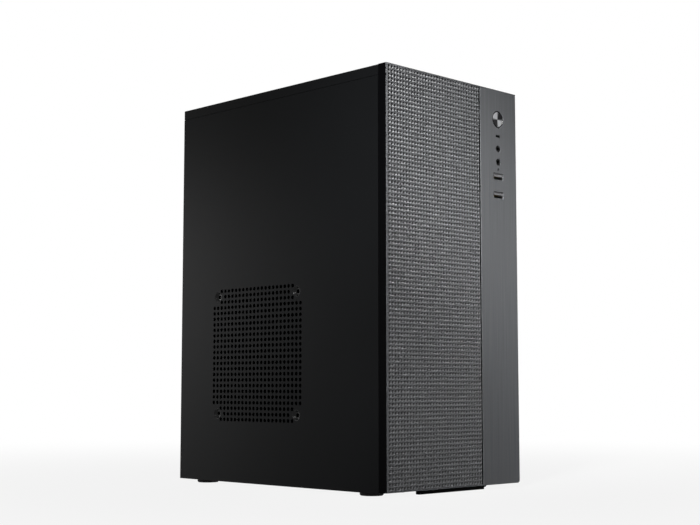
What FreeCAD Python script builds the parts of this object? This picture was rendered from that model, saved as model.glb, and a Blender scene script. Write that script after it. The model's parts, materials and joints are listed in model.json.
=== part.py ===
import FreeCAD, Part
import math
import os
from types import SimpleNamespace
import Sketcher

# Small tower computer case: folded steel chassis, two sliding side panels and a moulded front cover.
# Millimetres, +Z up, front towards -Y, origin on the floor below the middle of the case.

SIZES = {
    # Sheet and fits
    "steel": 0.8,
    "bend_radius": 1.0,
    "slip": 0.2,
    "seam": 0.3,
    # Feet
    "foot_height": 3.5,
    "foot_radius": 9.75,
    "foot_side_inset": 18.5,
    "foot_front_inset": 35.0,
    "foot_rear_inset": 19.0,
    "foot_peg_radius": 2.4,
    "foot_hole_radius": 2.5,
    # Chassis folds
    "top_flange": 8.7,
    "top_rail": 8.0,
    "base_rail": 14.0,
    "frame_fold": 12.0,
    "rivet_radius": 1.5,
    "rivet_head": 2.2,
    "rivet_hole_radius": 1.6,
    # Side panels
    "panel_fold": 8.6,
    "hook_spacing": 95.0,
    "hook_stem": 4.0,
    "hook_lip": 10.0,
    "hook_tall": 5.0,
    "hook_slot_play": 0.5,
    "panel_travel": 12.0,
    "panel_screw_inset": 5.0,
    "panel_screw_low": 60.0,
    "panel_screw_drop": 60.0,
    # Side vent
    "vent_span": 120.0,
    "vent_pitch": 7.5,
    "vent_hole": 4.6,
    "vent_forward": 106.6,
    "vent_up": 112.6,
    "vent_dimple_spacing": 105.0,
    "dimple_radius": 4.0,
    "dimple_floor_radius": 2.6,
    "dimple_depth": 2.0,
    # Screws
    "screw_radius": 1.5,
    "screw_head_radius": 3.0,
    "screw_head_height": 2.2,
    "screw_length": 6.0,
    "screw_hole_radius": 1.9,
    "small_screw_radius": 1.0,
    "small_screw_head": 2.2,
    "small_screw_length": 5.0,
    # Motherboard tray and stand-offs
    "tray_inset": 14.0,
    "standoff_height": 6.0,
    "standoff_radius": 2.9,
    "standoff_stub": 1.6,
    "standoff_bore_radius": 1.35,
    "board_bottom": 6.5,
    "board_depth": 243.84,
    "board_rear_gap": 2.0,
    "board_front_gap": 7.76,
    "board_hole_rear": 10.16,
    "board_hole_front": 6.35,
    "board_hole_column": 69.85,
    "board_hole_top": 6.35,
    "board_hole_low": 34.29,
    "board_hole_row": 48.26,
    "tray_margin": 1.66,
    "tray_notch_margin": 6.0,
    "cooler_window": 108.0,
    "cooler_window_start": 24.0,
    "cable_window_start": 20.0,
    "cable_window_width": 30.0,
    "cable_window_height": 100.0,
    # Power supply and its opening in the rear panel
    "psu_width": 150.0,
    "psu_height": 86.0,
    "psu_side_gap": 9.0,
    "psu_top_gap": 4.7,
    "psu_rail_gap": 1.5,
    "psu_rail_width": 15.0,
    "psu_window_side": 12.0,
    "psu_window_end": 10.0,
    "psu_hole_radius": 2.0,
    # Connector opening, card slots and rear fan
    "connector_height": 158.75,
    "connector_width": 44.45,
    "connector_top_gap": 3.09,
    "connector_offset": 5.4,
    "slot_first_drop": 11.5,
    "slot_pitch": 20.32,
    "slot_end": 9.54,
    "slot_window": 13.2,
    "slot_offset": 10.0,
    "slot_length": 100.0,
    "cover_width": 18.4,
    "cover_offset": 3.5,
    "ledge_gap": 6.0,
    "ledge_reach": 12.0,
    "ledge_foot": 5.0,
    "ledge_screw_out": 6.2,
    "rear_fan_inset": 56.0,
    "rear_fan_drop": 52.0,
    "rear_fan_spacing": 71.5,
    "rear_fan_hole_radius": 2.2,
    "hex_pitch": 10.4,
    "hex_radius": 5.1,
    # Front frame
    "fan_opening_radius": 54.0,
    "fan_spacing": 105.0,
    "fan_inset": 66.0,
    "fan_low": 91.5,
    "fan_high": 221.5,
    # Drive cage
    "cage_setback": 7.2,
    "cage_clear_width": 102.6,
    "cage_inset": 6.0,
    "cage_port_gap": 12.0,
    "cage_drop": 35.7,
    "drive_hole_spacing": 101.6,
    "drive_hole_up": 6.35,
    # Hole pattern of a small flat drive on the floor
    "small_drive_wide": 61.72,
    "small_drive_long": 76.6,
    "small_drive_hole": 1.7,
    "small_drive_inset": 74.0,
    "small_drive_forward": 20.0,
    # Front cover
    "bezel_depth": 9.0,
    "bezel_lift": 0.9,
    "bezel_wall": 2.2,
    "bezel_face_wall": 2.0,
    "rim": 1.0,
    "corner_radius": 2.5,
    "panel_thickness": 2.5,
    "strip_width": 49.9,
    "groove": 1.0,
    "texture_pitch": 5.25,
    "texture_depth": 1.2,
    "pull_width": 82.0,
    "pull_setback": 5.0,
    "pull_drop": 2.7,
    "clip_inset": 7.5,
    "clip_radius": 3.4,
    "clip_hole_radius": 3.8,
    "clip_reach": 5.5,
    "clip_slot": 1.2,
    "clip_taper": 1.5,
    "clip_low": 20.0,
    "clip_drop": 12.0,
    # Controls and ports, measured in from the right side and down from the top
    "port_inset": 25.0,
    "button_drop": 26.2,
    "button_radius": 6.6,
    "button_travel": 1.5,
    "ring_radius": 7.4,
    "ring_bore_radius": 6.95,
    "ring_flange_radius": 8.6,
    "power_light_drop": 41.2,
    "power_light_width": 5.8,
    "power_light_height": 1.8,
    "disk_light_drop": 70.7,
    "disk_light_radius": 0.9,
    "jack_upper_drop": 52.5,
    "jack_lower_drop": 64.3,
    "jack_radius": 2.95,
    "jack_bore_radius": 1.8,
    "jack_bore_depth": 12.0,
    "jack_body": 8.0,
    "usb_upper_drop": 77.3,
    "usb_lower_drop": 93.8,
    "usb_width": 13.1,
    "usb_height": 5.7,
    "usb_wall": 0.35,
    "usb_tongue_width": 11.0,
    "usb_tongue_thickness": 1.8,
    "port_fit": 0.15,
    "board_setback": 14.9,
    "board_thickness": 1.6,
    "port_board_width": 22.0,
    "port_board_top_drop": 19.0,
    "port_board_low_drop": 102.0,
    "boss_across": 8.6,
    "boss_upper_drop": 33.5,
    "boss_lower_drop": 85.5,
}


class Size:
    """A length that keeps its value and the spreadsheet expression it comes from."""

    def __init__(self, text, value):
        self.text = text
        self.value = value

    def _join(self, other, sign, value):
        return Size(f"({self.text} {sign} {as_size(other).text})", value)

    def __add__(self, other):
        return self._join(other, "+", self.value + as_size(other).value)

    def __sub__(self, other):
        return self._join(other, "-", self.value - as_size(other).value)

    def __mul__(self, other):
        return self._join(other, "*", self.value * as_size(other).value)

    def __truediv__(self, other):
        return self._join(other, "/", self.value / as_size(other).value)

    def __neg__(self):
        return Size(f"(0 - {self.text})", -self.value)

    def __radd__(self, other):
        return as_size(other) + self

    def __rsub__(self, other):
        return as_size(other) - self

    def __rmul__(self, other):
        return as_size(other) * self


def as_size(number):
    return number if isinstance(number, Size) else Size(repr(float(number)), float(number))


def make_sheet(doc):
    sheet = doc.addObject("Spreadsheet::Sheet", "sizes")
    for row, (name, value) in enumerate(SIZES.items(), start=1):
        sheet.set(f"A{row}", name)
        sheet.set(f"B{row}", str(value))
        sheet.setAlias(f"B{row}", name)
    doc.recompute()
    return sheet


doc = FreeCAD.newDocument("case")
sheet = make_sheet(doc)
size = SimpleNamespace(**{name: Size(f"sizes.{name}", sheet.get(name)) for name in SIZES})
V = FreeCAD.Vector

# Heights, from the floor up: board with its connectors and card slots, then the power supply
SLOTS = 4
bottom = size.foot_height
floor_top = bottom + size.steel
board_low = bottom + size.board_bottom
slot_last = board_low + size.slot_end
slot_heights = [slot_last + size.slot_pitch * n for n in reversed(range(SLOTS))]
connector_low = slot_heights[0] + size.slot_first_drop
connector_high = connector_low + size.connector_height
board_high = connector_high + size.connector_top_gap
tray_top = board_high + size.tray_margin
psu_bottom = tray_top + size.psu_rail_gap
psu_top = psu_bottom + size.psu_height
roof_under = psu_top + size.psu_top_gap
top = roof_under + size.steel

# Width and depth: the power supply with room beside it, and the board between the end sheets
half = size.psu_width / 2 + size.psu_side_gap
case_depth = (size.bezel_depth + size.steel + size.board_front_gap + size.board_depth
              + size.board_rear_gap + 2 * size.steel)
rear = (case_depth - size.ledge_reach) / 2
front = rear - case_depth

# Planes and faces that several pieces share
steel_front = front + size.bezel_depth
front_inner = steel_front + size.steel
rear_outer = rear - size.steel
rear_inner = rear_outer - size.steel
rail_outer = half - size.steel - size.slip
rail_inner = rail_outer - size.steel
frame_half = rail_inner - size.slip
middle = (steel_front + rear_outer) / 2
board_face = front + size.board_setback
PAST = 2.0

parts = []


# Shared building steps
def bind(thing, name, length):
    thing.setExpression(name, as_size(length).text)


def place(thing, x, y, z, axis=None, angle=0.0):
    if axis is not None:
        thing.Placement = FreeCAD.Placement(V(0, 0, 0), FreeCAD.Rotation(V(*axis), angle))
    bind(thing, "Placement.Base.x", x)
    bind(thing, "Placement.Base.y", y)
    bind(thing, "Placement.Base.z", z)


def block(x, y, z):
    """Box between two values on each axis."""
    box = doc.addObject("Part::Box", "block")
    bind(box, "Length", x[1] - x[0])
    bind(box, "Width", y[1] - y[0])
    bind(box, "Height", z[1] - z[0])
    place(box, x[0], y[0], z[0])
    return box


TURN = {"x": ((0, 1, 0), 90.0), "y": ((1, 0, 0), -90.0), "z": (None, 0.0)}


def rod(along, start, end, radius, u, v):
    """Cylinder from start to end along an axis, centred on the two other coordinates."""
    rod_body = doc.addObject("Part::Cylinder", "rod")
    bind(rod_body, "Radius", radius)
    bind(rod_body, "Height", as_size(end) - start)
    axis, angle = TURN[along]
    corner = {"x": (start, u, v), "y": (u, start, v), "z": (u, v, start)}[along]
    place(rod_body, *corner, axis, angle)
    return rod_body


def cone(along, start, end, radius_start, radius_end, u, v):
    piece = doc.addObject("Part::Cone", "cone")
    bind(piece, "Radius1", radius_start)
    bind(piece, "Radius2", radius_end)
    bind(piece, "Height", as_size(end) - start)
    axis, angle = TURN[along]
    corner = {"x": (start, u, v), "y": (u, start, v), "z": (u, v, start)}[along]
    place(piece, *corner, axis, angle)
    return piece


def group(members):
    holder = doc.addObject("Part::Compound", "group")
    holder.Links = members
    return holder


def fuse(members):
    joined = doc.addObject("Part::MultiFuse", "joined")
    joined.Shapes = members
    joined.Refine = True
    return joined


def cut(base, tools):
    """Base with every tool removed."""
    result = doc.addObject("Part::Cut", "cut")
    result.Base = base
    result.Tool = tools[0] if len(tools) == 1 else group(tools)
    return result


def round_edges(base, radius, wanted):
    """Base with the straight edges that pass the test rounded."""
    doc.recompute()
    numbers = [n for n, edge in enumerate(base.Shape.Edges, start=1) if wanted(edge.BoundBox)]
    rounded = doc.addObject("Part::Fillet", "rounded")
    rounded.Base = base
    rounded.Edges = [(number, radius.value, radius.value) for number in numbers]
    return rounded


def keep(thing, label):
    thing.Label = label
    parts.append(thing)
    return thing


def sketch_on(body, role, offset):
    """Empty sketch on one of the body's origin planes, moved along that plane's normal."""
    sketch = body.newObject("Sketcher::SketchObject", "outline")
    plane = next(p for p in body.Origin.OriginFeatures if p.Role == role)
    sketch.AttachmentSupport = [(plane, "")]
    sketch.MapMode = "FlatFace"
    bind(sketch, "AttachmentOffset.Base.z", offset)
    return sketch


def fix_point(sketch, geometry, position, across, up):
    for kind, length in (("DistanceX", as_size(across)), ("DistanceY", as_size(up))):
        number = sketch.addConstraint(
            Sketcher.Constraint(kind, -1, 1, geometry, position, length.value))
        bind(sketch, f"Constraints[{number}]", length)


def polygon(sketch, points):
    """Closed outline through the points, each one tied to its two lengths."""
    flat = [V(as_size(a).value, as_size(b).value, 0) for a, b in points]
    lines = [sketch.addGeometry(Part.LineSegment(flat[i], flat[(i + 1) % len(flat)]))
             for i in range(len(flat))]
    for i, line in enumerate(lines):
        following = lines[(i + 1) % len(lines)]
        sketch.addConstraint(Sketcher.Constraint("Coincident", line, 2, following, 1))
    for line, (across, up) in zip(lines, points):
        fix_point(sketch, line, 1, across, up)


def padded(name, role, offset, length, points):
    """Body made by drawing one outline and pulling it straight along the plane's normal."""
    body = doc.addObject("PartDesign::Body", name)
    sketch = sketch_on(body, role, offset)
    polygon(sketch, points)
    pad = body.newObject("PartDesign::Pad", "pad")
    pad.Profile = sketch
    bind(pad, "Length", length)
    body.Tip = pad
    return body


def turned(name, points):
    """Body made by turning an outline of (radius, height) points about its own Z axis."""
    body = doc.addObject("PartDesign::Body", name)
    sketch = sketch_on(body, "XZ_Plane", 0)
    polygon(sketch, points)
    revolution = body.newObject("PartDesign::Revolution", "revolution")
    revolution.Profile = sketch
    revolution.ReferenceAxis = (sketch, ["V_Axis"])
    revolution.Angle = 360.0
    body.Tip = revolution
    return body


def along_depth(name, start, end, points):
    """Folded sheet with one section, given as (x, z) points, between two depths."""
    return padded(name, "XZ_Plane", -end, end - start, points)


# Hook places, shared by the rails and the side panels
hook_depths = [middle - size.hook_spacing, middle, middle + size.hook_spacing]
hook_heights = [bottom + size.base_rail / 2 + size.hook_slot_play,
                top - size.top_flange - size.top_rail / 2]


def hook_slots(height):
    """Slots through both rails at one height, long enough for the panel to slide and come off."""
    slots = []
    for depth in hook_depths:
        slot_start = depth - size.hook_slot_play
        slot_end = depth + size.hook_stem + size.panel_travel + size.hook_slot_play
        reach = size.hook_tall / 2 + size.hook_slot_play
        slots.append(block((-half - PAST, half + PAST), (slot_start, slot_end),
                           (height - reach, height + reach)))
    return slots


foot_places = [
    ("foot_front_left", -half + size.foot_side_inset, front + size.foot_front_inset),
    ("foot_front_right", half - size.foot_side_inset, front + size.foot_front_inset),
    ("foot_rear_left", -half + size.foot_side_inset, rear - size.foot_rear_inset),
    ("foot_rear_right", half - size.foot_side_inset, rear - size.foot_rear_inset),
]

# Rivets: depthwise ones hold the tray to the rear panel, upright ones hold the frames to the base
tray_face = half - size.tray_inset
rivet_across = tray_face + size.steel + size.rivet_head
tray_rivets = [bottom + (tray_top - bottom) * share for share in (0.16, 0.6, 0.93)]
base_rivets = [(x, y) for x in (-half * 0.6, half * 0.6)
               for y in (front_inner + size.frame_fold / 2, rear_inner - size.frame_fold / 2)]


small_drive_middle = -half + size.small_drive_inset


def outer_bend(box):
    """True for a long edge along Y at an outer corner of the folded lid or floor."""
    at_side = min(abs(abs(box.XMin) - face.value) for face in (half, rail_outer)) < 0.01
    at_end = min(abs(box.ZMin - face.value) for face in (top, bottom)) < 0.01
    return at_side and at_end and box.XLength < 0.01 and box.ZLength < 0.01


def make_base():
    rail_top = bottom + size.base_rail
    tub = along_depth("base_tub", steel_front, rear_outer, [
        (-rail_outer, rail_top), (-rail_outer, bottom), (rail_outer, bottom), (rail_outer, rail_top),
        (rail_inner, rail_top), (rail_inner, floor_top), (-rail_inner, floor_top),
        (-rail_inner, rail_top)])
    holes = hook_slots(hook_heights[0])
    for _, x, y in foot_places:
        holes.append(rod("z", bottom - PAST, floor_top + PAST, size.foot_hole_radius, x, y))
    for x, y in base_rivets:
        holes.append(rod("z", bottom - PAST, floor_top + PAST, size.rivet_hole_radius, x, y))
    for x in (-size.small_drive_wide / 2, size.small_drive_wide / 2):
        for y in (-size.small_drive_long / 2, size.small_drive_long / 2):
            holes.append(rod("z", bottom - PAST, floor_top + PAST, size.small_drive_hole,
                             x + small_drive_middle, y - size.small_drive_forward))
    tub = round_edges(tub, size.bend_radius, outer_bend)
    keep(cut(tub, holes), "base_panel")


def make_top():
    flange_end = top - size.top_flange
    rail_end = flange_end - size.top_rail
    inside = half - size.steel
    right_side = [(half, top), (half, flange_end), (rail_outer, flange_end), (rail_outer, rail_end),
                  (rail_inner, rail_end), (rail_inner, flange_end + size.steel),
                  (inside, flange_end + size.steel), (inside, roof_under)]
    left_side = [(-x, z) for x, z in reversed(right_side)]
    lid = along_depth("top_lid", steel_front, rear_outer, right_side + left_side)
    lid = round_edges(lid, size.bend_radius, outer_bend)
    keep(cut(lid, hook_slots(hook_heights[1])), "top_panel")


# The power supply's four screws, across from its right side and up from its underside
psu_holes = [(6.0, size.psu_height - 6.0), (size.psu_width - 6.0, size.psu_height - 6.0),
             (6.0, 16.0), (size.psu_width - 30.0, 6.0)]

# Card slots run across from beside the tray, and the screw ledge stands past their far end
slot_near = tray_face - size.slot_offset
slot_far = slot_near - size.slot_length
ledge_face = slot_far - size.ledge_gap
ledge_low = slot_heights[-1] - size.slot_pitch / 2
ledge_high = slot_heights[0] + size.slot_pitch / 2


def corner_holes(along, start, end, radius, centre, spacing):
    """Four holes on a square about a centre, through one sheet."""
    offsets = (-spacing / 2, spacing / 2)
    return [rod(along, start, end, radius, centre[0] + a, centre[1] + b)
            for a in offsets for b in offsets]


def hexagon_field(start, end, centre):
    """Honeycomb of six-sided holes: one in the middle and three rings about it."""
    rings = 3
    cells = []
    for row in range(-rings, rings + 1):
        count = 2 * rings + 1 - abs(row)
        for place_number in range(count):
            across = centre[0] + size.hex_pitch * (place_number - (count - 1) / 2)
            up = centre[1] + size.hex_pitch * (row * math.sqrt(3) / 2)
            prism = doc.addObject("Part::Prism", "hexagon")
            prism.Polygon = 6
            bind(prism, "Circumradius", size.hex_radius)
            bind(prism, "Height", end - start)
            prism.Placement = FreeCAD.Placement(V(0, 0, 0), upright_hexagon)
            bind(prism, "Placement.Base.x", across)
            bind(prism, "Placement.Base.y", start)
            bind(prism, "Placement.Base.z", up)
            cells.append(prism)
    return cells


# Turns a prism's axis to +Y with a point of its hexagon upwards
upright_hexagon = FreeCAD.Rotation(V(1, 0, 0), -90.0).multiply(FreeCAD.Rotation(V(0, 0, 1), 30.0))


def make_rear():
    before = rear_inner - PAST
    behind = rear_outer + PAST
    fold = rear_inner - size.frame_fold
    side_low = bottom + size.base_rail + size.seam
    side_high = top - size.top_flange - size.top_rail - size.seam
    pieces = [
        block((-frame_half, frame_half), (rear_inner, rear_outer), (floor_top, roof_under)),
        block((-frame_half, -frame_half + size.steel), (fold, rear_outer), (side_low, side_high)),
        block((frame_half - size.steel, frame_half), (fold, rear_outer), (side_low, side_high)),
        block((-frame_half + size.steel, tray_face - 2.0), (fold, rear_outer),
              (floor_top, floor_top + size.steel)),
        block((-frame_half + size.steel, frame_half - size.steel), (fold, rear_outer),
              (roof_under - size.steel, roof_under)),
    ]
    holes = []
    connector_right = tray_face - size.connector_offset
    holes.append(block((connector_right - size.connector_width, connector_right), (before, behind),
                       (connector_low, connector_high)))
    holes.append(block((size.psu_window_side - size.psu_width / 2,
                        size.psu_width / 2 - size.psu_window_side), (before, behind),
                       (psu_bottom + size.psu_window_side, psu_top - size.psu_window_end)))
    for across, up in psu_holes:
        holes.append(rod("y", before, behind, size.psu_hole_radius,
                         size.psu_width / 2 - across, psu_bottom + up))
    cover_play = 0.3
    for height in slot_heights:
        holes.append(block((slot_far, slot_near), (before, behind),
                           (height - size.slot_window / 2, height + size.slot_window / 2)))
        holes.append(block((ledge_face - size.steel - cover_play, ledge_face), (before, behind),
                           (height - size.cover_width / 2 - cover_play,
                            height + size.cover_width / 2 + cover_play)))
    fan = (-half + size.rear_fan_inset, psu_bottom - size.rear_fan_drop)
    holes += corner_holes("y", before, behind, size.rear_fan_hole_radius, fan, size.rear_fan_spacing)
    holes += hexagon_field(before, behind, fan)
    for side in (-1, 1):
        for height in panel_screw_heights:
            holes.append(rod("y", before, behind, size.screw_hole_radius,
                             side * (half - size.panel_screw_inset), height))
    for height in tray_rivets:
        holes.append(rod("y", before, behind, size.rivet_hole_radius, rivet_across, height))
    for x, y in base_rivets:
        if y.value > 0:
            holes.append(rod("z", bottom, floor_top + size.steel + PAST, size.rivet_hole_radius, x, y))
    keep(cut(fuse(pieces), holes), "rear_panel")


def make_slot_ledge():
    """Angle on the back of the rear panel that the slot covers are screwed to."""
    ledge = padded("ledge", "XY_Plane", ledge_low, ledge_high - ledge_low, [
        (ledge_face, rear_outer), (ledge_face + size.ledge_foot, rear_outer),
        (ledge_face + size.ledge_foot, rear), (ledge_face + size.steel, rear),
        (ledge_face + size.steel, rear + size.ledge_reach), (ledge_face, rear + size.ledge_reach)])
    holes = [rod("x", ledge_face - PAST, ledge_face + size.steel + PAST, size.rivet_hole_radius,
                 rear + size.ledge_screw_out, height) for height in slot_heights]
    keep(cut(ledge, holes), "slot_ledge")


panel_screw_heights = [bottom + size.panel_screw_low, top - size.panel_screw_drop]

# Front frame: fan openings, the hole for the port board and the clip holes of the front cover
fan_heights = [bottom + size.fan_low, bottom + size.fan_high]
clip_heights = [bottom + size.clip_low, (bottom + top) / 2, top - size.clip_drop]
clip_places = [(side * (half - size.clip_inset), height)
               for side in (-1, 1) for height in clip_heights]
port_x = half - size.port_inset
port_board_x = (port_x - size.port_board_width / 2, port_x + size.port_board_width / 2)
port_board_z = (top - size.port_board_low_drop, top - size.port_board_top_drop)


def make_front_frame():
    before = steel_front - PAST
    behind = front_inner + PAST
    fold = front_inner + size.frame_fold
    side_low = bottom + size.base_rail + size.seam
    side_high = top - size.top_flange - size.top_rail - size.seam
    port_gap = 2.5
    pieces = [
        block((-frame_half, frame_half), (steel_front, front_inner), (floor_top, roof_under)),
        block((-frame_half, -frame_half + size.steel), (steel_front, fold), (side_low, side_high)),
        block((frame_half - size.steel, frame_half), (steel_front, fold), (side_low, side_high)),
        block((-frame_half + size.steel, tray_face - 2.0), (steel_front, fold),
              (floor_top, floor_top + size.steel)),
        block((port_board_x[0] - 8.0, frame_half - size.steel), (steel_front, fold),
              (roof_under - size.steel, roof_under)),
    ]
    holes = [block((port_board_x[0] - port_gap, port_board_x[1] + port_gap), (before, behind),
                   (port_board_z[0] - port_gap, port_board_z[1] + port_gap))]
    for height in fan_heights:
        centre = (-half + size.fan_inset, height)
        holes.append(rod("y", before, behind, size.fan_opening_radius, *centre))
        holes += corner_holes("y", before, behind, size.rear_fan_hole_radius, centre, size.fan_spacing)
    for x, z in clip_places:
        holes.append(rod("y", before, behind, size.clip_hole_radius, x, z))
    for x, y in base_rivets:
        if y.value < 0:
            holes.append(rod("z", bottom, floor_top + size.steel + PAST, size.rivet_hole_radius, x, y))
    keep(cut(fuse(pieces), holes), "front_frame")


# Motherboard tray, stand-offs and the rail below the power supply
board_rear = rear_inner - size.board_rear_gap
board_hole_y = board_rear - size.board_hole_rear
board_hole_z = board_high - size.board_hole_top
column_front = board_rear - size.board_depth + size.board_hole_front
row_low = board_low + size.board_hole_low
standoff_places = [(y, z)
                   for y in (board_hole_y, column_front + size.board_hole_column, column_front)
                   for z in (board_hole_z, row_low + size.board_hole_row, row_low)]


def make_tray():
    back_face = tray_face + size.steel
    notch_low = port_board_z[0] - size.tray_notch_margin
    notch_end = board_face + size.board_thickness + size.screw_head_height + 1.5
    pieces = [
        block((tray_face, back_face), (front_inner, rear_inner), (floor_top, tray_top)),
        block((tray_face, frame_half - size.steel - size.slip),
              (front_inner + size.frame_fold + 1.0, rear_inner - size.frame_fold - 1.0),
              (floor_top, floor_top + size.steel)),
        block((tray_face, back_face + 2.6 * size.rivet_head), (rear_inner - size.steel, rear_inner),
              (floor_top + size.steel, tray_top - size.steel)),
        block((tray_face - size.frame_fold, back_face), (front_inner, front_inner + size.steel),
              (floor_top + size.frame_fold, notch_low - 2.0)),
        block((tray_face - size.frame_fold, back_face), (notch_end, rear_inner),
              (tray_top - size.steel, tray_top)),
    ]
    beside = (tray_face - PAST, back_face + PAST)
    cooler_rear = board_hole_y - size.cooler_window_start
    cooler_high = board_hole_z - size.cooler_window_start
    cooler_low = cooler_high - size.cooler_window
    cable_start = front_inner + size.cable_window_start
    holes = [
        block((tray_face - 2 * size.frame_fold, back_face + PAST), (front_inner - PAST, notch_end),
              (notch_low, port_board_z[1])),
        block(beside, (cooler_rear - size.cooler_window, cooler_rear), (cooler_low, cooler_high)),
        block(beside, (cable_start, cable_start + size.cable_window_width),
              (cooler_low, cooler_low + size.cable_window_height)),
    ]
    for y, z in standoff_places:
        holes.append(rod("x", *beside, size.rivet_hole_radius, y, z))
    for height in tray_rivets:
        holes.append(rod("y", rear_inner - PAST, rear_inner + PAST, size.rivet_hole_radius,
                         rivet_across, height))
    keep(cut(fuse(pieces), holes), "motherboard_tray")


def make_standoffs():
    posts = []
    for y, z in standoff_places:
        face = tray_face - size.standoff_height
        post = doc.addObject("Part::Prism", "hexagon")
        post.Polygon = 6
        bind(post, "Circumradius", size.standoff_radius)
        bind(post, "Height", size.standoff_height)
        place(post, face, y, z, *TURN["x"])
        stub = rod("x", tray_face, tray_face + size.standoff_stub, size.screw_radius, y, z)
        bore = rod("x", face - PAST, tray_face - size.steel, size.standoff_bore_radius, y, z)
        posts.append(cut(fuse([post, stub]), [bore]))
    keep(group(posts), "standoffs")


def make_psu_rail():
    outer = -frame_half + size.steel + size.slip
    rail = along_depth("rail", front_inner, rear_inner, [
        (outer, tray_top), (outer, tray_top - size.frame_fold),
        (outer + size.steel, tray_top - size.frame_fold),
        (outer + size.steel, tray_top - size.steel),
        (outer + size.psu_rail_width, tray_top - size.steel),
        (outer + size.psu_rail_width, tray_top)])
    keep(rail, "psu_rail")


def make_drive_cage():
    """Folded hat section that hangs from the top panel and holds one drive across the case."""
    near = front_inner + size.cage_setback
    far = near + size.cage_clear_width + 2 * size.steel
    low = roof_under - size.cage_drop
    lip = roof_under - size.steel
    start = -half + size.cage_inset
    length = port_board_x[0] - size.cage_port_gap - start
    cage = padded("cage", "YZ_Plane", start, length, [
        (near - 6.0, roof_under), (near + size.steel, roof_under), (near + size.steel, low + size.steel),
        (far - size.steel, low + size.steel), (far - size.steel, roof_under), (far + 10.0, roof_under),
        (far + 10.0, lip), (far, lip), (far, low), (near, low), (near, lip), (near - 6.0, lip)])
    centre = start + length / 2
    holes = [block((centre - 40.0, centre + 40.0), (near + 16.0, far - 16.0),
                   (low - PAST, low + size.steel + PAST))]
    for side in (-1, 1):
        holes.append(rod("y", near - PAST, far + PAST, size.screw_hole_radius,
                         centre + side * size.drive_hole_spacing / 2,
                         low + size.steel + size.drive_hole_up))
    keep(cut(cage, holes), "drive_cage")


def make_slot_covers():
    """Blanking plates behind the slots, each with a tab that turns out onto the ledge."""
    tab = ledge_face - size.steel
    cover_near = tray_face - size.cover_offset
    tab_end = rear + size.ledge_reach - 0.5
    behind = rear_inner - size.steel
    for number, height in enumerate(slot_heights, start=1):
        low = height - size.cover_width / 2
        plate = padded("plate", "XY_Plane", low, size.cover_width, [
            (tab, tab_end), (tab, behind), (cover_near, behind), (cover_near, rear_inner),
            (tab + size.steel, rear_inner), (tab + size.steel, tab_end)])
        notch = block((tab - PAST, tab + size.steel + PAST),
                      (rear + size.ledge_screw_out, tab_end + PAST),
                      (height - size.screw_hole_radius, height + size.screw_hole_radius))
        seat = rod("x", tab - PAST, tab + size.steel + PAST, size.screw_hole_radius,
                   rear + size.ledge_screw_out, height)
        keep(cut(plate, [notch, seat]), f"slot_cover_{number}")


def screw(along, seat, direction, u, v, radius=size.screw_radius, length=size.screw_length,
          head_radius=size.screw_head_radius):
    """Pan-head screw: the head stands on the seat and the shank runs the other way."""
    head_end = seat + direction * size.screw_head_height
    shank_end = seat - direction * length
    ends = sorted([seat, head_end], key=lambda item: item.value)
    head = rod(along, *ends, head_radius, u, v)
    ends = sorted([seat, shank_end], key=lambda item: item.value)
    return fuse([head, rod(along, *ends, radius, u, v)])


def make_slot_screws():
    seat = ledge_face - size.steel
    keep(group([screw("x", seat, -1, rear + size.ledge_screw_out, height)
                for height in slot_heights]), "slot_cover_screws")


def make_rivets():
    """Closed rivets: a low head outside, a shank through both sheets and a spread tail inside."""
    rivets = []
    head = 0.9
    tail = 1.6
    for height in tray_rivets:
        line = (rivet_across, height)
        rivets.append(fuse([
            rod("y", rear_outer, rear_outer + head, size.rivet_head, *line),
            rod("y", rear_inner - size.steel, rear_outer, size.rivet_radius, *line),
            rod("y", rear_inner - size.steel - tail, rear_inner - size.steel,
                size.rivet_radius + 0.4, *line)]))
    for line in base_rivets:
        inside = floor_top + size.steel
        rivets.append(fuse([
            rod("z", bottom - head, bottom, size.rivet_head, *line),
            rod("z", bottom, inside, size.rivet_radius, *line),
            rod("z", inside, inside + tail, size.rivet_radius + 0.4, *line)]))
    keep(group(rivets), "frame_rivets")


def make_feet():
    """Round push-in feet with a dished underside."""
    dish_radius = size.foot_radius * 0.55
    for label, x, y in foot_places:
        foot = turned("foot", [
            (0, 1.0), (dish_radius, 1.0), (dish_radius, 0), (size.foot_radius - 0.8, 0),
            (size.foot_radius, 0.8), (size.foot_radius, size.foot_height),
            (size.foot_peg_radius, size.foot_height),
            (size.foot_peg_radius, size.foot_height + size.steel + 1.5),
            (0, size.foot_height + size.steel + 2.2)])
        place(foot, x, y, 0)
        keep(foot, label)


# Side panels: a skin folded round the rear edge, with hooks that slide behind the rails
panel_top = top - size.top_flange - size.seam


def rear_bend(box):
    """True for the upright edge where the skin turns in behind the rear panel."""
    return (abs(abs(box.XMin) - half.value) < 0.01 and box.XLength < 0.01
            and abs(box.YMin - rear.value) < 0.01 and box.YLength < 0.01)


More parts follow.
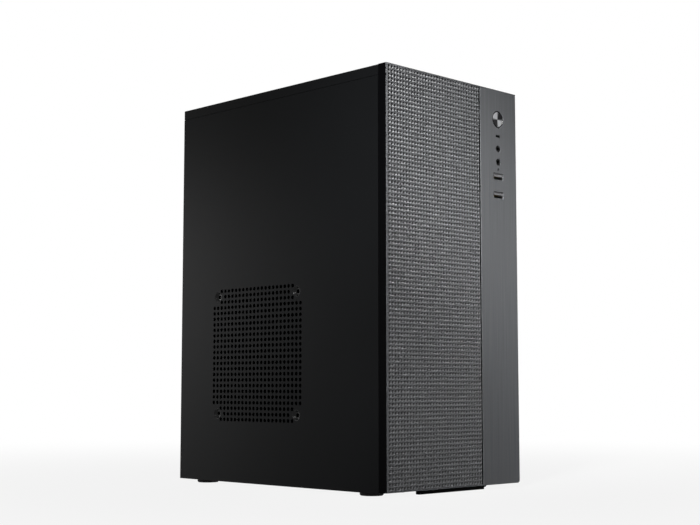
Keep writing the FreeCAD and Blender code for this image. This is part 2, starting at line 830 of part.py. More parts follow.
def panel_shell(side):
    """The folded skin and its six hooks, on the left for -1 and on the right for +1."""
    def x(inward):
        return side * (half - inward)

    def span(near, far):
        return (x(far), x(near)) if side > 0 else (x(near), x(far))

    skin = padded("skin", "XY_Plane", bottom, panel_top - bottom, [
        (x(0), steel_front + size.seam), (x(0), rear), (x(size.panel_fold), rear),
        (x(size.panel_fold), rear_outer), (x(size.steel), rear_outer),
        (x(size.steel), steel_front + size.seam)])
    skin = round_edges(skin, size.bend_radius, rear_bend)
    lip_depth = 2 * size.steel + 2 * size.slip + 0.6
    pieces = [skin]
    for height in hook_heights:
        for depth in hook_depths:
            tall = (height - size.hook_tall / 2, height + size.hook_tall / 2)
            pieces.append(block(span(0, lip_depth + size.steel),
                                (depth, depth + size.hook_stem), tall))
            pieces.append(block(span(lip_depth, lip_depth + size.steel),
                                (depth - size.hook_lip, depth + size.hook_stem), tall))
    holes = [rod("y", rear_outer - PAST, rear + PAST, size.screw_hole_radius,
                 x(size.panel_screw_inset), height) for height in panel_screw_heights]
    return fuse(pieces), holes


vent_centre = (rear - size.vent_forward, bottom + size.vent_up)


def vent_holes():
    """Square field of square holes, open except where the four screw dimples stand."""
    count = int(round(size.vent_span.value / size.vent_pitch.value))
    pitch = size.vent_pitch.value
    hole = size.vent_hole.value
    dimple = size.vent_dimple_spacing.value / 2
    keep_off = size.dimple_radius.value + size.steel.value + hole / 2
    tools = []
    for column in range(count):
        for row in range(count):
            y = (column - (count - 1) / 2) * pitch
            z = (row - (count - 1) / 2) * pitch
            if math.hypot(abs(y) - dimple, abs(z) - dimple) < keep_off:
                continue
            corner = V(-half.value - PAST, vent_centre[0].value + y - hole / 2,
                       vent_centre[1].value + z - hole / 2)
            tools.append(Part.makeBox(2 * PAST + size.steel.value, hole, hole, corner))
    field = doc.addObject("Part::Feature", "vent_field")
    field.Shape = Part.makeCompound(tools)
    return field


def make_left_panel():
    shell, holes = panel_shell(-1)
    spacing = size.vent_dimple_spacing
    places = [(vent_centre[0] + a * spacing / 2, vent_centre[1] + b * spacing / 2)
              for a in (-1, 1) for b in (-1, 1)]
    cups, wells = [], []
    for y, z in places:
        floor = -half + size.dimple_depth
        cups.append(cone("x", -half, floor + size.steel, size.dimple_radius + size.steel,
                         size.dimple_floor_radius + size.steel, y, z))
        wells.append(cone("x", -half, floor, size.dimple_radius, size.dimple_floor_radius, y, z))
        wells.append(rod("x", -half - PAST, floor + size.steel + PAST, size.psu_hole_radius, y, z))
    keep(cut(fuse([shell] + cups), holes + wells + [vent_holes()]), "left_side_panel")


def make_right_panel():
    shell, holes = panel_shell(1)
    keep(cut(shell, holes), "right_side_panel")


def make_panel_screws():
    for label, side in (("left_panel_screws", -1), ("right_panel_screws", 1)):
        keep(group([screw("y", rear, 1, side * (half - size.panel_screw_inset), height)
                    for height in panel_screw_heights]), label)


# Front cover
bezel_low = bottom + size.bezel_lift
face_floor = front + size.panel_thickness
face_back = face_floor + size.bezel_face_wall
strip_left = half - size.strip_width
strip_edge = strip_left - size.groove
button_z = top - size.button_drop
power_light_z = top - size.power_light_drop
disk_light_z = top - size.disk_light_drop
jack_heights = {"upper": top - size.jack_upper_drop, "lower": top - size.jack_lower_drop}
usb_heights = {"upper": top - size.usb_upper_drop, "lower": top - size.usb_lower_drop}


def low_right_corner(box):
    """True for the edge along Y at the lower right corner of the front."""
    return (abs(box.XMin - half.value) < 0.01 and abs(box.ZMax - bezel_low.value) < 0.01
            and box.YLength > 1.0)


def port_cuts(start, end):
    """Openings for the button, lights, audio sockets and USB sockets through a face."""
    fit = size.port_fit
    cuts = [rod("y", start, end, size.ring_radius + fit, port_x, button_z),
            rod("y", start, end, size.disk_light_radius + fit, port_x, disk_light_z)]
    for z in jack_heights.values():
        cuts.append(rod("y", start, end, size.jack_radius + fit, port_x, z))
    slots = [(power_light_z, size.power_light_width, size.power_light_height)]
    slots += [(z, size.usb_width, size.usb_height) for z in usb_heights.values()]
    for z, wide, tall in slots:
        cuts.append(block((port_x - wide / 2 - fit, port_x + wide / 2 + fit), (start, end),
                          (z - tall / 2 - fit, z + tall / 2 + fit)))
    return cuts


boss_places = [(port_x + side * size.boss_across, top - drop)
               for side in (-1, 1) for drop in (size.boss_lower_drop, size.boss_upper_drop)]


def make_bezel():
    """Moulded cover: shallow tray open at the back, with split clip posts and screw bosses."""
    block_outer = round_edges(
        block((-half, half), (front, steel_front), (bezel_low, top)), size.corner_radius,
        low_right_corner)
    inside = half - size.bezel_wall
    cavity = block((-inside, inside), (face_back, steel_front + PAST),
                   (bezel_low + size.bezel_wall, top - size.bezel_wall))
    seat = (front - PAST, face_floor)
    texture_seat = block((-half + size.rim, strip_edge), seat,
                         (bezel_low + size.rim, top - size.rim))
    strip_seat = block((strip_edge, half + PAST), seat, (bezel_low - PAST, top - size.rim))
    shell = cut(block_outer, [cavity, texture_seat, strip_seat] + port_cuts(front, face_back + PAST))
    additions = []
    for x, z in boss_places:
        additions.append(cut(rod("y", face_back - size.bezel_face_wall / 2, board_face, 2.5, x, z),
                             [rod("y", face_back, board_face + PAST, 1.1, x, z)]))
    clip_end = steel_front + size.clip_reach
    for x, z in clip_places:
        post = fuse([rod("y", face_back - size.bezel_face_wall / 2, clip_end - size.clip_taper,
                         size.clip_radius, x, z),
                     cone("y", clip_end - size.clip_taper, clip_end, size.clip_radius,
                          size.clip_radius - 1.2, x, z)])
        gap = block((x - size.clip_slot / 2, x + size.clip_slot / 2),
                    (steel_front - 3.0, clip_end + PAST),
                    (z - size.clip_radius - PAST, z + size.clip_radius + PAST))
        additions.append(cut(post, [gap]))
    pull = block((-size.pull_width / 2, size.pull_width / 2),
                 (front + size.pull_setback, steel_front),
                 (bottom - size.pull_drop, bezel_low + size.bezel_wall / 2))
    keep(fuse([shell] + additions + [pull]), "front_bezel")


def zigzag(count, pitch, long_side, flat, depth):
    """Prism along Z whose front edge rises to a ridge at every cell border."""
    points = [V(0, 0, 0), V(0, -flat - depth, 0)]
    for cell in range(count):
        points.append(V((cell + 0.5) * pitch, -flat, 0))
        points.append(V((cell + 1) * pitch, -flat - depth, 0))
    points += [V(count * pitch, 0, 0), V(0, 0, 0)]
    return Part.Face(Part.makePolygon(points)).extrude(V(0, 0, long_side))


def make_textured_panel():
    """Plate pressed all over with square pits: two crossing sets of ridges, joined."""
    play = 0.1
    wide = strip_edge.value - play - (-half.value + size.rim.value + play)
    tall = (top.value - size.rim.value - play) - (bezel_low.value + size.rim.value + play)
    columns = int(round(wide / size.texture_pitch.value))
    rows = int(round(tall / size.texture_pitch.value))
    depth = size.texture_depth.value
    flat = size.panel_thickness.value - depth
    upright = zigzag(columns, wide / columns, tall, flat, depth)
    level = zigzag(rows, tall / rows, wide, flat, depth)
    level.rotate(V(0, 0, 0), V(0, 1, 0), -90.0)
    level.translate(V(wide, 0, 0))
    waffle = doc.addObject("Part::Feature", "waffle")
    waffle.Shape = upright.fuse(level)
    place(waffle, -half + size.rim + play, face_floor, bezel_low + size.rim + play)
    keep(waffle, "textured_panel")


def make_strip():
    """Brushed plate down the right of the front, pierced for the controls and ports."""
    play = 0.1
    plate = round_edges(
        block((strip_left, half), (front, face_floor), (bezel_low, top - size.rim - play)),
        size.corner_radius, low_right_corner)
    keep(cut(plate, port_cuts(front - PAST, face_floor + PAST)), "brushed_strip")


# Turned pieces of the power button: heights run from the front face inwards, as negative values
ring_end = face_back - front + 1.0
collar_start = ring_end + 0.1
switch_face = size.board_setback - 4.0


def make_button():
    x = port_x
    z = button_z
    ring = turned("ring", [
        (size.ring_bore_radius, 0), (size.ring_radius, 0), (size.ring_radius, 1.0 - ring_end),
        (size.ring_flange_radius, 1.0 - ring_end), (size.ring_flange_radius, -ring_end),
        (size.ring_bore_radius, -ring_end)])
    place(ring, x, front, z, (1, 0, 0), 90.0)
    keep(ring, "button_ring")
    stem_end = switch_face - size.button_travel - 0.5
    button = turned("button", [
        (0, -0.5), (size.button_radius - 0.6, -0.2), (size.button_radius, -0.6),
        (size.button_radius, -collar_start), (8.2, -collar_start), (8.2, -collar_start - 1.2),
        (2.5, -collar_start - 1.2), (2.5, -stem_end), (0, -stem_end)])
    place(button, x, front, z, (1, 0, 0), 90.0)
    keep(button, "power_button")
    plunger_end = size.board_setback - 1.0 - size.button_travel - 0.3
    keep(rod("y", front + stem_end, front + plunger_end, 1.7, x, z), "switch_plunger")
    housing = block((x - 3.0, x + 3.0), (front + switch_face, board_face), (z - 3.0, z + 3.0))
    well = rod("y", front + switch_face - PAST, board_face - 1.0, 2.05, x, z)
    keep(cut(housing, [well]), "power_switch")


def make_lights():
    wide = size.power_light_width / 2
    tall = size.power_light_height / 2
    keep(block((port_x - wide, port_x + wide), (front + 0.2, board_face),
               (power_light_z - tall, power_light_z + tall)), "power_light")
    keep(rod("y", front + 0.2, board_face, size.disk_light_radius, port_x, disk_light_z),
         "disk_light")


def make_ports():
    x = port_x
    for place_name, z in jack_heights.items():
        reach = size.jack_body / 2
        body = fuse([
            block((x - reach, x + reach), (face_back + 0.3, board_face), (z - reach, z + reach)),
            rod("y", front + 0.3, face_back + 1.0, size.jack_radius, x, z)])
        bore = rod("y", front - PAST, front + 0.3 + size.jack_bore_depth, size.jack_bore_radius, x, z)
        keep(cut(body, [bore]), f"audio_jack_{place_name}")
    for place_name, z in usb_heights.items():
        wide, tall = size.usb_width / 2, size.usb_height / 2
        outer = block((x - wide, x + wide), (front + 0.4, board_face), (z - tall, z + tall))
        wall = size.usb_wall
        inner = block((x - wide + wall, x + wide - wall), (front - PAST, board_face + PAST),
                      (z - tall + wall, z + tall - wall))
        keep(cut(outer, [inner]), f"usb_shell_{place_name}")
        tongue_top = z + tall - wall - 0.6
        keep(block((x - size.usb_tongue_width / 2, x + size.usb_tongue_width / 2),
                   (front + 1.4, board_face),
                   (tongue_top - size.usb_tongue_thickness, tongue_top)),
             f"usb_tongue_{place_name}")


def make_port_board():
    back = board_face + size.board_thickness
    plate = block(port_board_x, (board_face, back), port_board_z)
    holes = [rod("y", board_face - PAST, back + PAST, 1.6, x, z) for x, z in boss_places]
    keep(cut(plate, holes), "port_board")
    keep(group([screw("y", back, 1, x, z, size.small_screw_radius, size.small_screw_length,
                      size.small_screw_head)
                for x, z in boss_places]), "port_board_screws")


def make_all():
    make_base()
    make_rear()
    make_slot_ledge()
    make_front_frame()
    make_top()
    make_tray()
    make_standoffs()
    make_psu_rail()
    make_drive_cage()
    make_slot_covers()
    make_slot_screws()
    make_rivets()
    make_feet()
    make_left_panel()
    make_right_panel()
    make_panel_screws()
    make_bezel()
    make_textured_panel()
    make_strip()
    make_button()
    make_lights()
    make_ports()
    make_port_board()


def check_document():
    """Stops if any object failed or any sub-part is empty or broken."""
    failed = [item.Label for item in doc.Objects if {"Invalid", "Error"} & set(item.State)]
    if failed:
        raise SystemExit(f"failed objects: {failed}")
    for item in parts:
        if item.Shape.isNull() or not item.Shape.isValid() or item.Shape.Volume <= 0:
            raise SystemExit(f"bad shape: {item.Label}")


def write_parts():
    os.makedirs("parts", exist_ok=True)
    for item in parts:
        item.Shape.exportStep(f"parts/{item.Label}.step")
        box = item.Shape.BoundBox
        print(f"{item.Label}: {len(item.Shape.Solids)} solid(s), {item.Shape.Volume:.1f} mm3, "
              f"{box.XLength:.1f} x {box.YLength:.1f} x {box.ZLength:.1f}")


make_all()
doc.recompute()
check_document()
write_parts()
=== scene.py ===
import json
import math

import bmesh
import bpy
from mathutils import Matrix, Vector
from mathutils.geometry import delaunay_2d_cdt

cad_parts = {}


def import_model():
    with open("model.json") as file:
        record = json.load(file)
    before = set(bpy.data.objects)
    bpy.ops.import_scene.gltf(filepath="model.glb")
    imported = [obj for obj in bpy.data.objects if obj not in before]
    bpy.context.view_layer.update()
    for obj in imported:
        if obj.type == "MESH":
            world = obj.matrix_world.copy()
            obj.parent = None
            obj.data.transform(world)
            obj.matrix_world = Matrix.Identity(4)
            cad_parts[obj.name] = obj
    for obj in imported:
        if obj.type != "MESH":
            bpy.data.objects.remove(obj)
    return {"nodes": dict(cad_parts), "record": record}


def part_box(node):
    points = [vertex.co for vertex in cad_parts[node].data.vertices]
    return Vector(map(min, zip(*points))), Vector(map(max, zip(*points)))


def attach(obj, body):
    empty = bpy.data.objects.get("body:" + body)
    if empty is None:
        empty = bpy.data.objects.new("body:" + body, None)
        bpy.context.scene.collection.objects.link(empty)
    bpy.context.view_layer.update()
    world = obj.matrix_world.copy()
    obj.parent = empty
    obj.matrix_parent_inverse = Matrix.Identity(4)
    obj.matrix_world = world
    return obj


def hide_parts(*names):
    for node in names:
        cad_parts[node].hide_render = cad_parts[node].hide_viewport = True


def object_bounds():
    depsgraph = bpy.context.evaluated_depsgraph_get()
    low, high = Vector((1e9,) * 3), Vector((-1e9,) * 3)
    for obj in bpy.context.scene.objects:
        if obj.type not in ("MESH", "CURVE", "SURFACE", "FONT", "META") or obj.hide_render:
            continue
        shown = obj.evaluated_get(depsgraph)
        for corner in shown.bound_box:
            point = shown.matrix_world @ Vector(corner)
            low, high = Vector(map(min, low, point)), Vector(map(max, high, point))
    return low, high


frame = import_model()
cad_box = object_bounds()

# Looks for a small tower computer case. Metres, +Z up, front towards -Y. Shapes are worked out in
# millimetres, and mesh_from turns them into metres.
MM = 0.001
JOIN = 1e-7           # metres: points nearer than this are one
SHARP = 35.0          # degrees between two faces from which their edge stays sharp
SQUARE_ON = 0.99999   # part of a normal along one axis from which a face counts as flat


# Mesh building
def shade(mesh, degrees):
    """Smooth shading, except over sharp edges and on faces that are square to an axis."""
    mesh.set_sharp_from_angle(angle=math.radians(degrees))
    for polygon in mesh.polygons:
        polygon.use_smooth = max(abs(value) for value in polygon.normal) < SQUARE_ON


def mesh_from(name, verts, faces, smooth_angle=None):
    """Mesh in metres from points in millimetres, with doubled points joined."""
    mesh = bpy.data.meshes.new(name)
    mesh.from_pydata([Vector(v) * MM for v in verts], [], faces)
    work = bmesh.new()
    work.from_mesh(mesh)
    bmesh.ops.remove_doubles(work, verts=work.verts, dist=JOIN)
    bmesh.ops.recalc_face_normals(work, faces=work.faces)
    work.to_mesh(mesh)
    work.free()
    if smooth_angle is not None:
        shade(mesh, smooth_angle)
    return mesh


def carved(mesh, tool_mesh):
    """The first mesh less the space of the second."""
    holder = bpy.data.objects.new("holder", mesh)
    tool = bpy.data.objects.new("tool", tool_mesh)
    for item in (tool, holder):
        bpy.context.scene.collection.objects.link(item)
    modifier = holder.modifiers.new("BOOLEAN", "BOOLEAN")
    modifier.operation = "DIFFERENCE"
    modifier.object = tool
    modifier.solver = "EXACT"
    bpy.context.view_layer.update()
    depsgraph = bpy.context.evaluated_depsgraph_get()
    result = bpy.data.meshes.new_from_object(holder.evaluated_get(depsgraph))
    for item in (holder, tool):
        bpy.data.objects.remove(item)
    return result


def joined(name, meshes):
    """One mesh of several."""
    work = bmesh.new()
    for mesh in meshes:
        work.from_mesh(mesh)
    result = bpy.data.meshes.new(name)
    work.to_mesh(result)
    work.free()
    return result


def box_mm(node):
    """Lower and upper corner of a CAD node, in millimetres."""
    return [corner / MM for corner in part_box(node)]


def middle(node):
    lo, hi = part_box(node)
    return (lo + hi) / 2 / MM


def at_x(x):
    """Puts outline points on the plane at x."""
    return lambda u, v: (x, u, v)


def at_y(y):
    """Puts outline points on the plane at y."""
    return lambda u, v: (u, y, v)


def upright(u, v, w):
    """Space of a prism that stands along Z."""
    return u, v, w


def circle(u, v, radius, count):
    return [(u + radius * math.cos(2 * math.pi * i / count),
             v + radius * math.sin(2 * math.pi * i / count)) for i in range(count)]


def round_shape(u, v, radius, count=48):
    """Circle as a function of how far it is grown."""
    return lambda grow: circle(u, v, radius + grow, count)


def box_shape(u0, u1, v0, v1, radii, steps=6):
    """Rectangle with rounded corners, as a function of how far it is grown."""
    def outline(grow):
        points = []
        corners = ((u0, v0, 180), (u1, v0, 270), (u1, v1, 0), (u0, v1, 90))
        for (u, v, first), radius in zip(corners, radii):
            centre_u = u + radius if u == u0 else u - radius
            centre_v = v + radius if v == v0 else v - radius
            for step in range(steps + 1):
                angle = math.radians(first + 90.0 * step / steps)
                points.append((centre_u + (radius + grow) * math.cos(angle),
                               centre_v + (radius + grow) * math.sin(angle)))
        return points
    return outline


def pierced(outline, holes):
    """Triangles that fill an outline and leave its holes open: (points, triangles)."""
    points = list(outline)
    edges = [(i, (i + 1) % len(outline)) for i in range(len(outline))]
    owner = [-1] * len(outline)
    for number, hole in enumerate(holes):
        first = len(points)
        points += hole
        edges += [(first + i, first + (i + 1) % len(hole)) for i in range(len(hole))]
        owner += [number] * len(hole)
    found, _, triangles, origin, _, _ = delaunay_2d_cdt(
        [Vector(p) for p in points], edges, [], 0, 1e-6)
    owners = [{owner[i] for i in ids} for ids in origin]
    kept = []
    for triangle in triangles:
        shared = set.intersection(*(owners[i] for i in triangle))
        if not shared - {-1}:
            kept.append(tuple(triangle))
    return [(p.x, p.y) for p in found], kept


class Build:
    """Collects points and faces of one mesh, in millimetres."""

    def __init__(self):
        self.verts = []
        self.faces = []

    def points(self, items):
        first = len(self.verts)
        self.verts += [tuple(p) for p in items]
        return list(range(first, len(self.verts)))

    def face(self, corners):
        self.faces.append(tuple(corners))

    def quads(self, ring_a, ring_b, closed=True):
        last = len(ring_a) if closed else len(ring_a) - 1
        for i in range(last):
            j = (i + 1) % len(ring_a)
            self.face((ring_a[i], ring_a[j], ring_b[j], ring_b[i]))

    def sheet(self, to_space, outline, holes):
        """Flat pierced face."""
        points, triangles = pierced(outline, holes)
        ids = self.points(to_space(u, v) for u, v in points)
        for triangle in triangles:
            self.face(ids[i] for i in triangle)

    def loft(self, rings, closed_along=False):
        """Skin over rings of points, and from the last to the first if closed_along."""
        made = [self.points(ring) for ring in rings]
        for a, b in zip(made, made[1:]):
            self.quads(a, b)
        if closed_along:
            self.quads(made[-1], made[0])
        return made

    def plate(self, outline, holes, front, back, edge):
        """Plate across Y with rounded front edges; outline and holes are growing shapes."""
        self.sheet(at_y(front), outline(-edge), [hole(edge) for hole in holes])
        self.sheet(at_y(back), outline(0), [hole(0) for hole in holes])
        turns = [math.radians(angle) for angle in (0, 30, 60, 90)]
        for shape, sign in [(outline, -1)] + [(hole, 1) for hole in holes]:
            rings = [[(u, front + edge * (1 - math.cos(t)), v)
                      for u, v in shape(sign * edge * (1 - math.sin(t)))] for t in turns]
            rings.append([(u, back, v) for u, v in shape(0)])
            self.loft(rings)

    def prism(self, profile, to_space, start, end):
        """Solid with one outline between two places."""
        rings = [self.points(to_space(u, v, place) for u, v in profile) for place in (start, end)]
        self.quads(*rings)
        for ring in rings:
            self.face(ring)

    def lathe(self, profile, centre, axis, sides):
        """Turned solid: (radius, distance) points along an axis from a centre."""
        axis = Vector(axis)
        side = axis.orthogonal().normalized()
        third = axis.cross(side)
        rings = []
        for radius, along in profile:
            if radius < 1e-6:
                rings.append([self.points([Vector(centre) + axis * along])[0]] * sides)
                continue
            rings.append(self.points(
                Vector(centre) + axis * along
                + (side * math.cos(a) + third * math.sin(a)) * radius
                for a in (2 * math.pi * i / sides for i in range(sides))))
        for a, b in zip(rings, rings[1:]):
            for i in range(sides):
                j = (i + 1) % sides
                corners = []
                for index in (a[i], a[j], b[j], b[i]):
                    if index not in corners:
                        corners.append(index)
                if len(corners) > 2:
                    self.face(corners)

    def mesh(self, name, smooth_angle=None):
        return mesh_from(name, self.verts, self.faces, smooth_angle)


# Left side panel: folded skin, square vent of round holes, four dished screw places and hooks
STEEL = 0.8
BEND = 1.0            # outer radius of the rear bend
BEND_STEPS = 6
VENT_CENTRE = (19.9, 116.1)
VENT_PITCH = 5.0
VENT_COUNT = 24
VENT_RADIUS = 1.7
VENT_SIDES = 16
DISH_SPREAD = 52.5    # from the vent's middle to a dish, along Y and Z
DISH_CLEARS = (2, 3, 2, 0)  # holes that a dish takes from the ends of the vent's outer rows
DISH_SIDES = 40
# (radius, depth) from the front face down into the dish and back to the rear face
DISH_PROFILE = ((4.7, 0.0), (4.45, 0.06), (4.2, 0.25), (3.5, 1.15), (3.0, 1.75), (2.75, 1.95),
                (2.5, 2.0), (1.9, 2.0), (1.9, 2.8), (3.0, 2.8), (3.45, 2.62), (3.75, 2.25),
                (4.5, 1.25), (4.9, 0.9), (5.3, STEEL))
PANEL_SCREW_X = 79.0
PANEL_SCREW_HEIGHTS = (63.5, 288.5)
FOLD_HOLE = (1.9, 24)  # radius and sides of the screw holes in the rear fold
HOOK_HEIGHTS = (11.0, 335.8)
HOOK_PLACES = (-96.9, -1.9, 93.1)
HOOK_HALF = 2.5
# (inwards from the sheet, along the case) round a hook
HOOK_PROFILE = ((0, 0), (1.8, 0), (1.8, -10.0), (2.6, -10.0), (2.6, 4.0), (0, 4.0))


def vent_places():
    """The square grid, less the holes that the four dishes take up."""
    half = (VENT_COUNT - 1) / 2
    for column in range(VENT_COUNT):
        for row in range(VENT_COUNT):
            from_side = min(column, VENT_COUNT - 1 - column)
            from_end = min(row, VENT_COUNT - 1 - row)
            if from_side >= DISH_CLEARS[min(from_end, len(DISH_CLEARS) - 1)]:
                yield (VENT_CENTRE[0] + (column - half) * VENT_PITCH,
                       VENT_CENTRE[1] + (row - half) * VENT_PITCH)


def dish_places():
    return [(VENT_CENTRE[0] + a * DISH_SPREAD, VENT_CENTRE[1] + b * DISH_SPREAD)
            for a in (-1, 1) for b in (-1, 1)]


def dish_loft(build, rings, closed_along=False):
    """The same (x, radius) rings round each of the four dishes' middles."""
    for y, z in dish_places():
        build.loft([[(x, u, v) for u, v in circle(y, z, radius, DISH_SIDES)]
                    for x, radius in rings], closed_along)


def dishes():
    """The four pressed screw places, whose stretched paint is smoother than the sheet's."""
    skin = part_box("left_side_panel")[0].x / MM
    build = Build()
    dish_loft(build, [(skin + depth, radius) for radius, depth in DISH_PROFILE], True)
    return build.mesh("dishes", 40.0)


def side_panel():
    """Sheet with its vent, its rear bend and fold, and the hooks on its inner face."""
    lo, hi = box_mm("left_side_panel")
    skin, inner, fold_end = lo.x, lo.x + STEEL, hi.x
    bend_y = hi.y - BEND
    build = Build()

    vents = [circle(y, z, VENT_RADIUS, VENT_SIDES) for y, z in vent_places()]
    outline = [(lo.y, lo.z), (bend_y, lo.z), (bend_y, hi.z), (lo.y, hi.z)]
    dish_rims = ((skin, DISH_PROFILE[0][0]), (inner, DISH_PROFILE[-1][0]))
    for x, radius in dish_rims:
        build.sheet(at_x(x), outline,
                    vents + [circle(y, z, radius, DISH_SIDES) for y, z in dish_places()])
    for ring in vents:
        build.loft([[(x, u, v) for u, v in ring] for x in (skin, inner)])
    dish_loft(build, dish_rims)

    turn = [math.radians(90.0 * i / BEND_STEPS) for i in range(BEND_STEPS + 1)]
    outer_bend, inner_bend = (
        [(skin + BEND - radius * math.cos(t), bend_y + radius * math.sin(t)) for t in turn]
        + [(fold_end, bend_y + radius)] for radius in (BEND, BEND - STEEL))
    fold_faces = (outer_bend[-1][1], inner_bend[-1][1])
    holes = [circle(-PANEL_SCREW_X, z, *FOLD_HOLE) for z in PANEL_SCREW_HEIGHTS]
    for arc, y in zip((outer_bend, inner_bend), fold_faces):
        low = build.points((a, b, lo.z) for a, b in arc[:-1])
        high = build.points((a, b, hi.z) for a, b in arc[:-1])
        build.quads(low, high, closed=False)
        fold_start = arc[-2][0]
        build.sheet(at_y(y), [(fold_start, lo.z), (fold_end, lo.z), (fold_end, hi.z),
                              (fold_start, hi.z)], holes)
    for hole in holes:
        build.loft([[(u, y, v) for u, v in hole] for y in fold_faces])

    # The sheet's edges: below and above, then in front and at the end of the fold
    for z in (lo.z, hi.z):
        outer = build.points((x, y, z) for x, y in [(skin, lo.y)] + outer_bend)
        inside = build.points((x, y, z) for x, y in [(inner, lo.y)] + inner_bend)
        build.quads(outer, inside, closed=False)
    for xs, ys in (((skin, inner), (lo.y, lo.y)), ((fold_end, fold_end), fold_faces)):
        outer, inside = (build.points((x, y, z) for z in (lo.z, hi.z)) for x, y in zip(xs, ys))
        build.quads(outer, inside, closed=False)

    for height in HOOK_HEIGHTS:
        for place in HOOK_PLACES:
            build.prism([(inner + a, place + b) for a, b in HOOK_PROFILE], upright,
                        height - HOOK_HALF, height + HOOK_HALF)
    return build.mesh("left_skin", SHARP)


# Front plate with square dished pits between flat ridges
EDGE = 0.18           # rounding of the plate's and the strip's front edges
SEAM = 0.6            # what the plate and the strip each give to the black seam between them
PLATE_CORNER = 0.3
PIT_COLUMNS = 33
PIT_ROWS = 98
RIDGES = (0.85, 0.5)  # width of the ridges that stand and that lie
LEFT_MARGIN = 0.6
PIT_FLOOR = 1.85
# (share of the pit's width, share that its corners are cut by, depth), from the rim down
PIT_PROFILE = ((1.0, 0.25, 0.0), (0.60, 0.45, 0.92), (0.28, 0.586, 1.62))


def octagon(x, z, half_x, half_z, cut):
    """Square with its corners cut off, by a share of its half width."""
    a, b = half_x * (1 - cut), half_z * (1 - cut)
    return [(x - a, z - half_z), (x + a, z - half_z), (x + half_x, z - b), (x + half_x, z + b),
            (x + a, z + half_z), (x - a, z + half_z), (x - half_x, z + b), (x - half_x, z - b)]


def pitted_plate():
    lo, hi = box_mm("textured_panel")
    hi.x -= SEAM
    front, back = lo.y, hi.y
    left = lo.x + LEFT_MARGIN
    step_x = (hi.x - left) / PIT_COLUMNS
    step_z = (hi.z - lo.z) / PIT_ROWS
    half_x, half_z = (step_x - RIDGES[0]) / 2, (step_z - RIDGES[1]) / 2
    centres = [(left + (column + 0.5) * step_x, lo.z + (row + 0.5) * step_z)
               for column in range(PIT_COLUMNS) for row in range(PIT_ROWS)]
    build = Build()
    outline = box_shape(lo.x, hi.x, lo.z, hi.z, [PLATE_CORNER] * 4, 3)
    build.sheet(at_y(front), outline(-EDGE),
                [octagon(x, z, half_x, half_z, PIT_PROFILE[0][1]) for x, z in centres])
    build.sheet(at_y(back), outline(0), [])
    build.loft([[(u, front + depth, v) for u, v in outline(-inset)]
                for inset, depth in ((EDGE, 0), (EDGE * 0.3, EDGE * 0.3), (0, EDGE))]
               + [[(u, back, v) for u, v in outline(0)]])
    for x, z in centres:
        lowest = build.loft([[(u, front + depth, v)
                              for u, v in octagon(x, z, half_x * share, half_z * share, cut)]
                             for share, cut, depth in PIT_PROFILE])[-1]
        floor_point = build.points([(x, front + PIT_FLOOR, z)])[0]
        for i, corner in enumerate(lowest):
            build.face((corner, lowest[(i + 1) % len(lowest)], floor_point))
    return build.mesh("pits", 55.0)


# Brushed strip and the pieces that show through it
PORT_X = 59.0
PORT_PLAY = 0.15      # what the strip leaves round each piece
STRIP_CORNERS = (0.3, 2.5, 0.3, 0.3)
ROUND_PORTS = (("button_ring", 7.4), ("audio_jack_upper", 2.95), ("audio_jack_lower", 2.95),
               ("disk_light", 0.9))
SQUARE_PORTS = ("power_light", "usb_shell_upper", "usb_shell_lower")
SHELL_WALL = 0.35
SHELL_EDGE = 0.12
INSERT_SIDE = 0.4     # from the shell's outside to the insert, at its sides
INSERT_TOP = 0.36     # and above it
INSERT_LEAD = 0.7     # how far the insert stands in front of its solid
CONTACT_PLACES = (-3.5, -1.0, 1.0, 3.5)
CONTACT_HALF = 0.5
# (radius, depth behind the strip's face): shallow dish and rounded rim, then skirt and stem
BUTTON_PROFILE = ((0.0, 0.50), (1.5, 0.475), (3.0, 0.40), (4.5, 0.29), (5.6, 0.20), (6.0, 0.18),
                  (6.2, 0.19), (6.4, 0.26), (6.55, 0.40), (6.6, 0.6),
                  (6.6, 5.6), (8.2, 5.6), (8.2, 6.8), (2.5, 6.8), (2.5, 8.9), (0.0, 8.9))
# The same for the ring: rounded lip, then the sleeve behind the strip
RING_PROFILE = ((6.95, 0.3), (6.97, 0.14), (7.05, 0.03), (7.15, 0.0), (7.25, 0.02), (7.36, 0.12),
                (7.4, 0.25), (7.4, 4.5), (8.6, 4.5), (8.6, 5.5), (6.95, 5.5), (6.95, 0.3))


def port_shapes():
    """Openings round the button, lights and sockets."""
    shapes = [round_shape(PORT_X, middle(node).z, radius + PORT_PLAY)
              for node, radius in ROUND_PORTS]
    for node in SQUARE_PORTS:
        lo, hi = box_mm(node)
        shapes.append(box_shape(lo.x - PORT_PLAY, hi.x + PORT_PLAY, lo.z - PORT_PLAY,
                                hi.z + PORT_PLAY, [0.4] * 4))
    return shapes


def strip():
    lo, hi = box_mm("brushed_strip")
    build = Build()
    outline = box_shape(lo.x + SEAM, hi.x, lo.z, hi.z, STRIP_CORNERS)
    build.plate(outline, port_shapes(), lo.y, hi.y, EDGE)
    return build.mesh("strip", SHARP)


def seam_rib():
    """Black rib of the cover in the seam between the pitted plate and the strip."""
    plate_lo, plate_hi = box_mm("textured_panel")
    left, right = plate_hi.x - SEAM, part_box("brushed_strip")[0].x / MM + SEAM
    front = plate_lo.y + 0.5
    bevel = 0.1
    build = Build()
    build.prism([(left, plate_hi.y), (left, front + bevel), (left + bevel, front),
                 (right - bevel, front), (right, front + bevel), (right, plate_hi.y)],
                upright, plate_lo.z, plate_hi.z)
    return build.mesh("seam")


